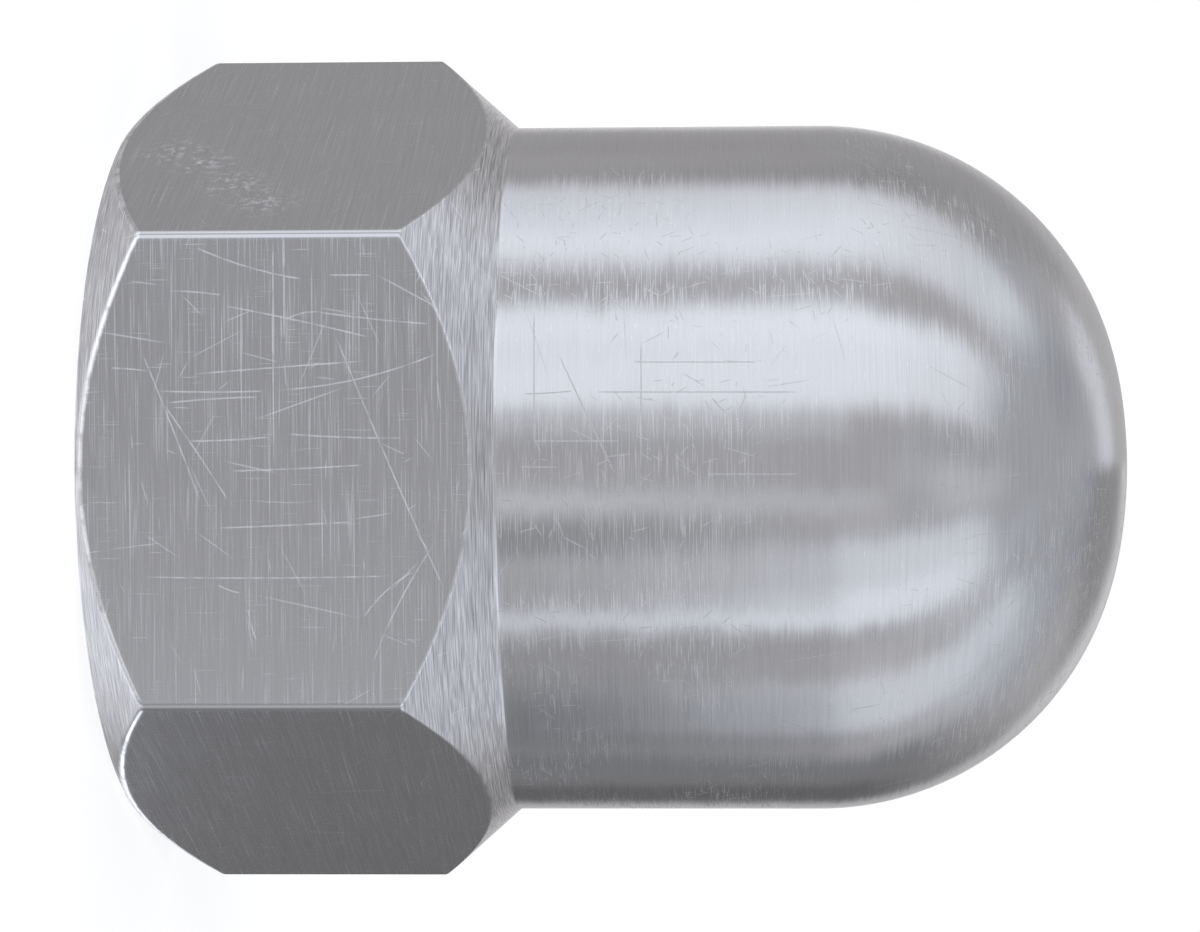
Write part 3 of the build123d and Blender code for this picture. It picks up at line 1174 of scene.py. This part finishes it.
sides = within(take["Azimuth"] - take["Middle"], take["Half Width"], take["Side Edge"])
ends = within(take["Elevation"] - take["Height"], take["Half Height"], take["End Edge"])
plug(give.inputs["Light"], sides * ends)
print("softbox", len(softbox.nodes), "nodes")

# %% Start the room: azimuth is 0 towards the camera and grows upwards in the picture
world = bpy.data.worlds.new("studio")
world.use_nodes = True
scene.world = world
world.cycles.sampling_method = "NONE"
room = world.node_tree
room.nodes.remove(room.nodes["Background"])
way_x, way_y, way_z = split_axes(room, Field(room.nodes.new("ShaderNodeTexCoord").outputs["Generated"]))
azimuth = (way_x * -1.0).maths("ARCTAN2", way_y * -1.0).maths("DEGREES")
elevation = way_z.clamped(-1.0, 1.0).maths("ARCSINE").maths("DEGREES")


def window(left, right, bottom, top, strength, side_edge, end_edge):
    """A softbox, in degrees, and how much it adds to the room."""
    light = place_group(room, softbox, Azimuth=azimuth, Elevation=elevation, Middle=(left + right) / 2,
                        Half_Width=(right - left) / 2, Side_Edge=side_edge, Height=(bottom + top) / 2,
                        Half_Height=(top - bottom) / 2, End_Edge=end_edge)
    return light["Light"] * strength


print("azimuth and elevation", len(room.nodes), "nodes")

# %% [markdown]
# The list of windows
# Each band on the body is a softbox, a screen or a gap somewhere round the nut. A band's place on the body
# gives the direction that it is mirrored from, so each window was set and moved until its band lay where the
# picture has it. Four plain softboxes would give even bands, but the real ones have soft sides, dark gaps and
# brighter cores. So windows add up, one that takes light away is a dark screen, and each tint has a list of
# its own.

# %% List the windows: left, right, bottom, top, what each adds, and how soft its sides and ends are
ROOM_GREY = 0.53
NEUTRAL = (1.005, 0.985, 1.01)
DAYLIGHT = (0.90, 0.99, 1.11)
GREY_WINDOWS = (
    # Behind the nut, below its axis in the picture
    (-400, -167, -90, 8, 0.3, 4, 7),
    (-400, -152, 18, 32, 0.19, 8, 6),
    (-400, -150, 32, 66, -0.18, 8, 8),
    (-150, -130, -90, 12, -0.11, 6, 6),
    (-150, -128, 56, 75, -0.06, 5, 6),
    (-152, -114, -31, -18, 0.4, 5, 4),
    (-151, -112, -90, 28, -0.26, 6, 12),
    # Beside its lower side
    (-113, -74, -90, 2, -0.22, 5, 6),
    (-102, -82, -90, 12, -0.05, 5, 4),
    (-76, -60, 1, 36, 0.09, 4, 5),
    (-74, -57, -90, 2, -0.12, 3, 6),
    # In front of it
    (-46, -36, -90, 0, -0.05, 3, 3),
    (-48, -16, -62, -32, -0.3, 6, 6),
    (-28, -16, -90, 0, -0.17, 2, 3),
    (-21, -11, 2, 24, 0.07, 3, 4),
    (-18, -2, -90, -8, 0.05, 6, 3),
    (-18, 1, 40, 66, 0.18, 4, 6),
    (-22, 14, -60, 40, 0.02, 5, 6),
    (-8, 4, 22, 48, 0.07, 4, 5),
    # Past the bearing face, all round
    (-400, 400, -200, -38, 0.32, 3, 10),
    # In front of it, above its axis, and beside its upper side
    (0, 16, -90, -5, -0.08, 6, 3),
    (34, 66, -90, -2, -0.07, 4, 4),
    (84, 100, -90, 0, -0.1, 4, 4),
    # Beside and behind it, above its axis
    (106, 126, 0, 22, -0.05, 5, 6),
    (60, 175, -200, -38, -0.24, 10, 10),
    (114, 128, -14, 12, 0.06, 4, 6),
    (108, 150, 60, 78, -0.07, 5, 6),
    (110, 154, -90, 42, -0.11, 5, 6),
    (158, 170, -90, 12, 0.12, 4, 6),
    (167, 400, -90, 8, 0.3, 4, 7),
)
DAYLIGHT_WINDOWS = (
    # Beside and behind the nut, below its axis
    (-152, -114, -31, -18, 0.8, 5, 4),
    (-175, -60, -200, -46, 0.42, 10, 10),
    # The softbox beside its lower side
    (-114, -99, 32, 60, 0.16, 5, 8),
    (-110, -97, 18, 40, 0.06, 4, 6),
    (-97, -74, 1, 62, 0.38, 4, 5),
    (-74, -55, 38, 62, 0.1, 3, 5),
    # The softbox in front, below its axis
    (-62, -50, 28, 60, 0.09, 3, 6),
    (-52.5, -46.5, -70, 3, 0.36, 1.2, 4),
    (-60, -36, 62, 80, 0.07, 5, 6),
    (-53, -40, 1.5, 48, 0.2, 3, 5),
    (-53, -23, 1.5, 59, 0.42, 3, 5),
    (-13, -7, -70, 20, 0.14, 2, 6),
    (-13, -7, -70, -1, 0.12, 2, 3),
    # The softbox in front, above its axis
    (11, 22, -70, 7, 0.17, 3, 4),
    (20, 52, -70, 28, 0.09, 4, 9),
    (20, 54, -70, 58, 0.56, 4, 10),
    (42, 54, -70, 46, 0.08, 3, 6),
    (50, 62, 42, 60, 0.09, 3, 6),
    (52, 74, -70, 14, 0.08, 4, 9),
    # The softbox beside its upper side
    (65, 73, -70, 10, 0.09, 3, 6),
    (70, 82, -70, 10, 0.07, 3, 6),
    (76, 92, -70, 40, 0.09, 5, 6),
    (71, 101, -70, 22, 0.12, 5, 9),
    (71, 106, -70, 60, 0.4, 5, 9),
    (82, 116, 50, 64, 0.09, 5, 6),
    # The bar near the tip of the dome
    (145, 400, 44, 58.5, 0.36, 4, 4),
)
COOL_WINDOWS = (
    # Where this much of the grey takes the tint of daylight instead
    (-20, 12, 28, 62, 0.16, 6, 8),
    (-135, -80, 35, 62, 0.16, 6, 6),
    (-125, 16, -90, 60, 0.1, 6, 6),
    (-400, 400, 60, 200, 0.24, 3, 6),
    (80, 135, 40, 62, 0.14, 6, 6),
)
print("grey windows", len(GREY_WINDOWS))
print("windows of daylight", len(DAYLIGHT_WINDOWS), "and cooler", len(COOL_WINDOWS))

# %% [markdown]
# The room in sectors
# A ray from the nut meets a few windows only, but a sum of all of them would be worked out in full for each
# ray. So the room is cut into sectors of azimuth, each with the windows that reach into it. A Mix Shader
# whose factor is 0 or 1 skips the side that it doesn't use, so the picture is the same and the render is
# quicker.

# %% Paint the room, sector by sector
SECTORS = (-180, -105, -57, 8, 68, 108, 180)


def add_up(total, rows, least, most):
    """Adds the windows that reach between two azimuths to a total."""
    for left, right, bottom, top, strength, side_edge, end_edge in rows:
        if right + side_edge > least and left - side_edge < most:
            total = window(left, right, bottom, top, strength, side_edge, end_edge) + total
    return total


def sector_light(least, most):
    """The light of the room between two azimuths."""
    cool = add_up(0.0, COOL_WINDOWS, least, most)
    grey = add_up(ROOM_GREY, GREY_WINDOWS, least, most) - cool
    lit = add_up(cool, DAYLIGHT_WINDOWS, least, most)
    tints = [vector_maths(room, "SCALE", tint, light) for tint, light in ((NEUTRAL, grey), (DAYLIGHT, lit))]
    return node_in(room, "ShaderNodeBackground", Color=vector_maths(room, "ADD", *tints))


def either_light(share, first, second):
    """One light or another."""
    choice = node_in(room, "ShaderNodeMixShader", Fac=share)
    room.links.new(first.outputs[0], choice.inputs[1])
    room.links.new(second.outputs[0], choice.inputs[2])
    return choice


all_round = sector_light(*SECTORS[:2])
for least, most in zip(SECTORS[1:], SECTORS[2:]):
    past_least = azimuth.maths("GREATER_THAN", least)
    all_round = either_light(past_least, all_round, sector_light(least, most))
print("room", len(room.nodes), "nodes in", len(SECTORS) - 1, "sectors")

# %% [markdown]
# The white backdrop
# The picture's background is plain white. A room that is white on all sides would leave no bands on the
# nut. Light Path says which kind of ray asks for the world's light, so the camera sees white wherever it
# looks, and mirrored rays see it only low down behind the nut, where a backdrop stands.

# %% Show the white backdrop to the camera, and to what mirrors it
BACKDROP_EDGE, BACKDROP_TOP = (163, 171), (15, 1)
WHITE = (1.0, 1.0, 1.0, 1.0)

behind = soft_step(room, azimuth.maths("ABSOLUTE"), *BACKDROP_EDGE)
backdrop = behind * soft_step(room, elevation, *BACKDROP_TOP)
path = room.nodes.new("ShaderNodeLightPath")
mirrored = Field(path.outputs["Is Glossy Ray"]).maths("MAXIMUM", Field(path.outputs["Is Transmission Ray"]))
shown = (mirrored * backdrop).maths("MAXIMUM", Field(path.outputs["Is Camera Ray"]))
white = node_in(room, "ShaderNodeBackground", Color=WHITE, Strength=1.0)
choice = either_light(shown, all_round, white)
room.links.new(choice.outputs[0], room.nodes["World Output"].inputs["Surface"])
print("backdrop from azimuth", BACKDROP_EDGE, "up to elevation", BACKDROP_TOP)

# %% [markdown]
# The floor
# The nut stands on a pale floor that keeps its shadow. A plain white floor would come out grey in this soft
# light, so the floor has a glow of its own, which brings it up to the backdrop's white. The camera looks
# almost along it, and the steel in the picture shows no floor, so the steel here doesn't mirror it. From
# below it is clear, so that the hole can be seen.

# %% Lay the floor
FLOOR_REACH = 2.0

floor_mesh = bpy.data.meshes.new("floor")
corners = [(x * FLOOR_REACH, y * FLOOR_REACH, 0) for x, y in ((-1, -1), (1, -1), (1, 1), (-1, 1))]
floor_mesh.from_pydata(corners, [], [(0, 1, 2, 3)])
floor = bpy.data.objects.new("floor", floor_mesh)
scene.collection.objects.link(floor)
floor.visible_glossy = False
print("floor", 2 * FLOOR_REACH, "m wide")

# %% Make it pale from above and clear from below
FLOOR_SHADE = (0.5, 0.5, 0.5, 1.0)
FLOOR_GLOW = 0.72

pale = bpy.data.materials.new("pale_floor")
pale.use_nodes = True
pale_shader = pale.node_tree.nodes["Principled BSDF"]
pale_shader.inputs["Base Color"].default_value = FLOOR_SHADE
pale_shader.inputs["Roughness"].default_value = 1.0
pale_shader.inputs["Specular IOR Level"].default_value = 0.0
pale_shader.inputs["Emission Color"].default_value = WHITE
pale_shader.inputs["Emission Strength"].default_value = FLOOR_GLOW
see_through = pale.node_tree.nodes.new("ShaderNodeBsdfTransparent")
underneath = Field(pale.node_tree.nodes.new("ShaderNodeNewGeometry").outputs["Backfacing"])
either = node_in(pale.node_tree, "ShaderNodeMixShader", Fac=underneath)
pale.node_tree.links.new(pale_shader.outputs[0], either.inputs[1])
pale.node_tree.links.new(see_through.outputs[0], either.inputs[2])
pale.node_tree.links.new(either.outputs[0], pale.node_tree.nodes["Material Output"].inputs["Surface"])
floor_mesh.materials.append(pale)
print("floor material", len(pale.node_tree.nodes), "nodes")

# %% [markdown]
# The size of the nut
# The dressed nut must not be larger or smaller than the solid that it stands for. Looking at a picture can't
# show a tenth of a millimetre, so the nut's main sizes come from the solid's box.

# %% Finish
print("the dressed nut is ready")
